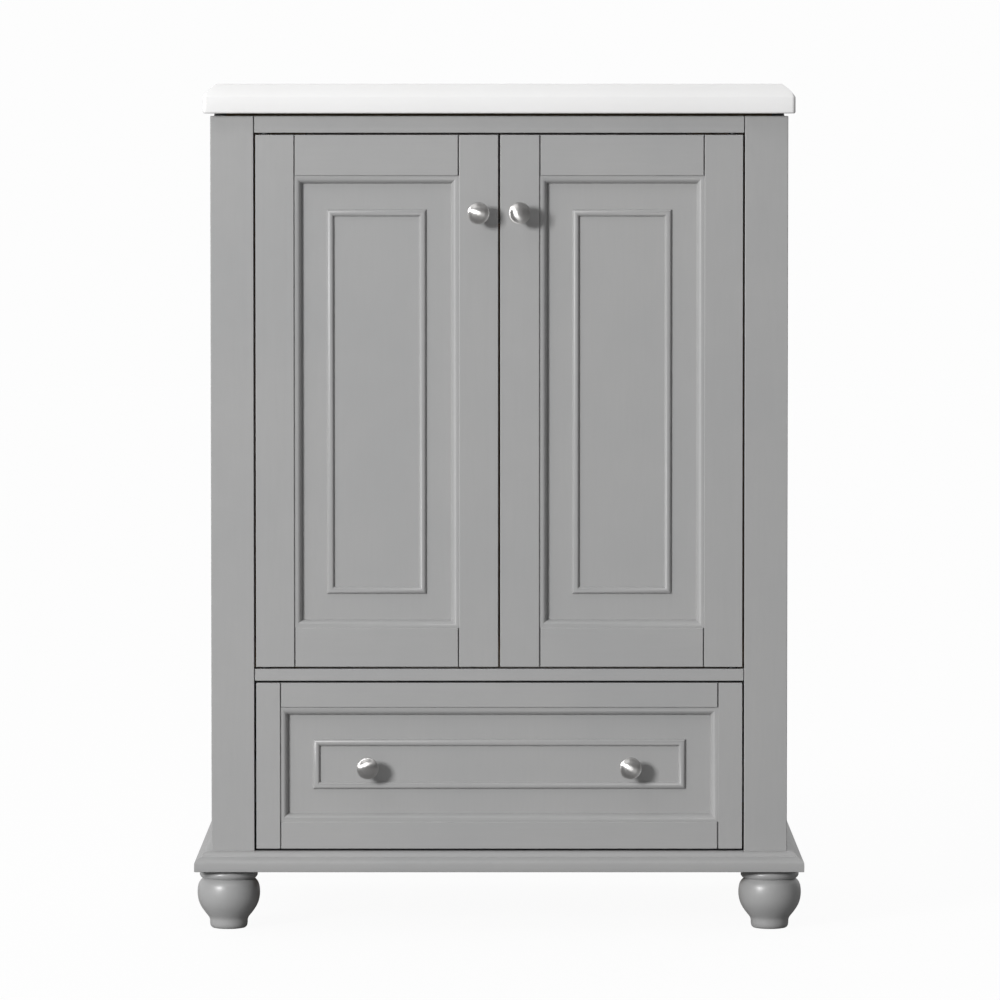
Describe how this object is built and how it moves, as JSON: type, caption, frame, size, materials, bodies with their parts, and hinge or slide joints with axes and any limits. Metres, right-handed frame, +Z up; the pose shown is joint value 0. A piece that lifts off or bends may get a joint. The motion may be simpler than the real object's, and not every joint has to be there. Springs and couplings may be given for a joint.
{
  "type": "bathroom vanity cabinet",
  "caption": "Free-standing painted bathroom vanity cabinet with a white basin top, panelled inset doors over a wide drawer, round knobs, base moulding and turned feet.",
  "frame": {"origin": "bottom centre of the whole object's box, on the floor under the middle of the cabinet", "axes": "+X to the viewer's right along the front, -Y out of the front (doors and drawer face -Y), +Z up"},
  "size_m": [0.631, 0.4814, 0.8755],
  "materials": {
    "grey_paint": "satin grey paint over solid wood and board",
    "interior_wood": "clear-coated birch plywood",
    "white_top": "gloss white glaze",
    "satin_nickel": "satin nickel plate",
    "zinc_steel": "bright zinc plate",
    "blackened_steel": "blackened, satin",
    "catch_plastic": "moulded, fine matt"
  },
  "bodies": {
    "cabinet": {"back_panel": "interior_wood", "back_top_rail": "interior_wood", "cabinet_floor": "interior_wood", "compartment_deck": "interior_wood", "countertop": "white_top", "double_magnetic_catch": "catch_plastic", "face_bottom_rail": "grey_paint", "face_middle_rail": "grey_paint", "face_top_rail": "grey_paint", "front_base_moulding": "grey_paint", "front_left_foot": "grey_paint", "front_right_foot": "grey_paint", "left_base_moulding": "grey_paint", "left_face_stile": "grey_paint", "left_lower_pivot_pin": "blackened_steel", "left_side_panel": "grey_paint", "left_slide_batten": "interior_wood", "left_slide_cabinet_member": "zinc_steel", "left_upper_pivot_pin": "blackened_steel", "rear_left_foot": "grey_paint", "rear_right_foot": "grey_paint", "right_base_moulding": "grey_paint", "right_face_stile": "grey_paint", "right_lower_pivot_pin": "blackened_steel", "right_side_panel": "grey_paint", "right_slide_batten": "interior_wood", "right_slide_cabinet_member": "zinc_steel", "right_upper_pivot_pin": "blackened_steel", "top_front_cleat": "interior_wood"},
    "left_door": {"left_door_bottom_rail": "grey_paint", "left_door_hinge_stile": "grey_paint", "left_door_knob": "satin_nickel", "left_door_lock_stile": "grey_paint", "left_door_panel": "grey_paint", "left_door_panel_moulding": "grey_paint", "left_door_top_rail": "grey_paint"},
    "right_door": {"right_door_bottom_rail": "grey_paint", "right_door_hinge_stile": "grey_paint", "right_door_knob": "satin_nickel", "right_door_lock_stile": "grey_paint", "right_door_panel": "grey_paint", "right_door_panel_moulding": "grey_paint", "right_door_top_rail": "grey_paint"},
    "drawer": {"drawer_bottom_rail": "grey_paint", "drawer_box_back": "interior_wood", "drawer_box_bottom": "interior_wood", "drawer_box_front": "interior_wood", "drawer_box_left_side": "interior_wood", "drawer_box_right_side": "interior_wood", "drawer_left_knob": "satin_nickel", "drawer_left_stile": "grey_paint", "drawer_panel": "grey_paint", "drawer_panel_moulding": "grey_paint", "drawer_right_knob": "satin_nickel", "drawer_right_stile": "grey_paint", "drawer_top_rail": "grey_paint", "left_slide_drawer_member": "zinc_steel", "right_slide_drawer_member": "zinc_steel"},
    "slide_middles": {"left_slide_middle_member": "zinc_steel", "right_slide_middle_member": "zinc_steel"}
  },
  "joints": [
    {"name": "left_door_hinge", "type": "hinge", "parent": "cabinet", "child": "left_door", "pos_m": [-0.2415, -0.21075, 0.548], "axis": [0, 0, -1], "range_deg": [0, 110]},
    {"name": "right_door_hinge", "type": "hinge", "parent": "cabinet", "child": "right_door", "pos_m": [0.2415, -0.21075, 0.548], "axis": [0, 0, 1], "range_deg": [0, 110]},
    {"name": "drawer_slide", "type": "slide", "parent": "cabinet", "child": "drawer", "axis": [0, -1, 0], "range_m": [0, 0.35]},
    {"name": "slide_middles_run", "type": "slide", "parent": "cabinet", "child": "slide_middles", "axis": [0, -1, 0], "range_m": [0, 0.175]}
  ],
  "couplings": [
    {"joint": "slide_middles_run", "follows": "drawer_slide", "ratio": 0.5}
  ]
}
